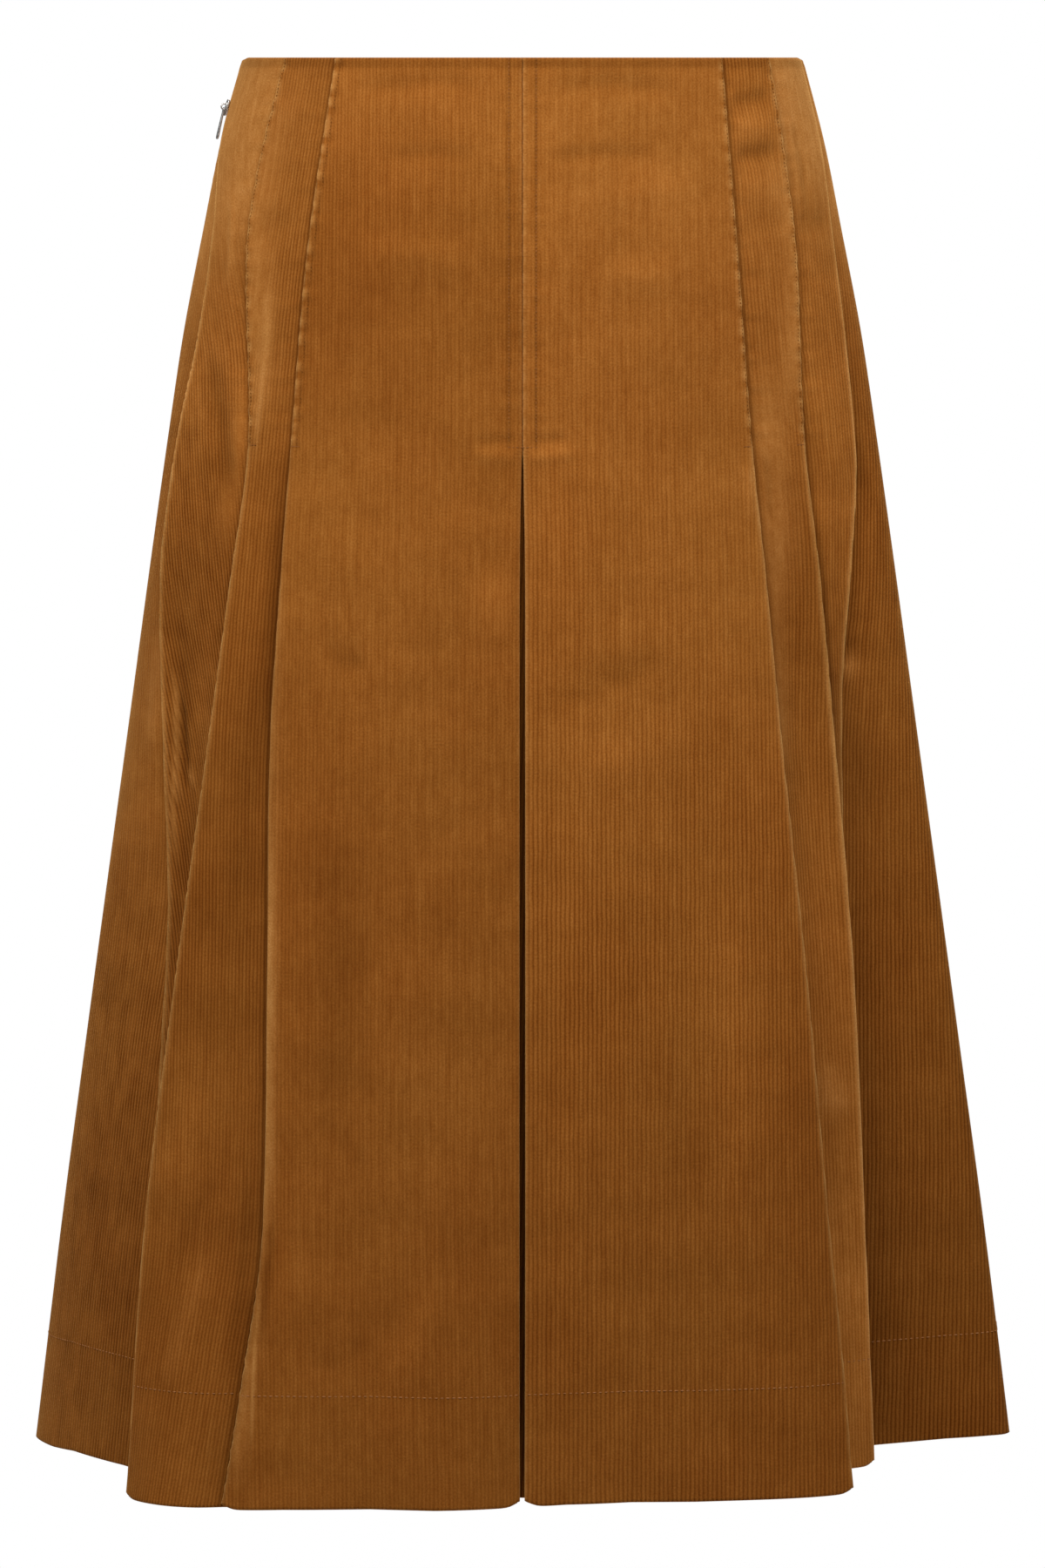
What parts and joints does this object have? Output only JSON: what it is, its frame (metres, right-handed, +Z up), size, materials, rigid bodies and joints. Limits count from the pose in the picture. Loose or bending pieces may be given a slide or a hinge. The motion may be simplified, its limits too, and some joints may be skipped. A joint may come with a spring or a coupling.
{
  "type": "pleated skirt",
  "caption": "Knee-length A-line skirt of tan fine-wale corduroy with an inverted centre pleat, stitched-down side pleats, side pocket mouths and a side zip, hollow as when worn",
  "frame": {"origin": "centre of the waist opening, level with its top edge", "axes": "+Z up along the wearer, the pleated face looks along -Y, +X is to the right of someone looking at that face, and the zip is in the seam at -X"},
  "size_m": [0.4703, 0.3913, 0.6604],
  "materials": {
    "corduroy": "fine-wale cotton corduroy, tan to caramel brown, soft nap with a slight sheen on the wales",
    "zip tape": "woven polyester tape with moulded coil teeth, brown",
    "zip metal": "plated zip metal, silver, worn smooth"
  },
  "bodies": {
    "skirt": {"front_left": "corduroy", "front_right": "corduroy", "centre_underlay": "corduroy", "side_front_left": "corduroy", "side_front_right": "corduroy", "side_left": "corduroy", "side_right": "corduroy", "back_left": "corduroy", "back_right": "corduroy", "zip_tape": "zip tape", "zip_slider": "zip metal"},
    "zip_pull": {"zip_pull": "zip metal"}
  },
  "joints": [
    {"name": "zip_pull_swing", "type": "hinge", "parent": "skirt", "child": "zip_pull", "pos_m": [-0.14156, -0.00645, -0.02323], "axis": [-0.2906, 0.9556, -0.0478], "range_deg": [0, 165]}
  ]
}
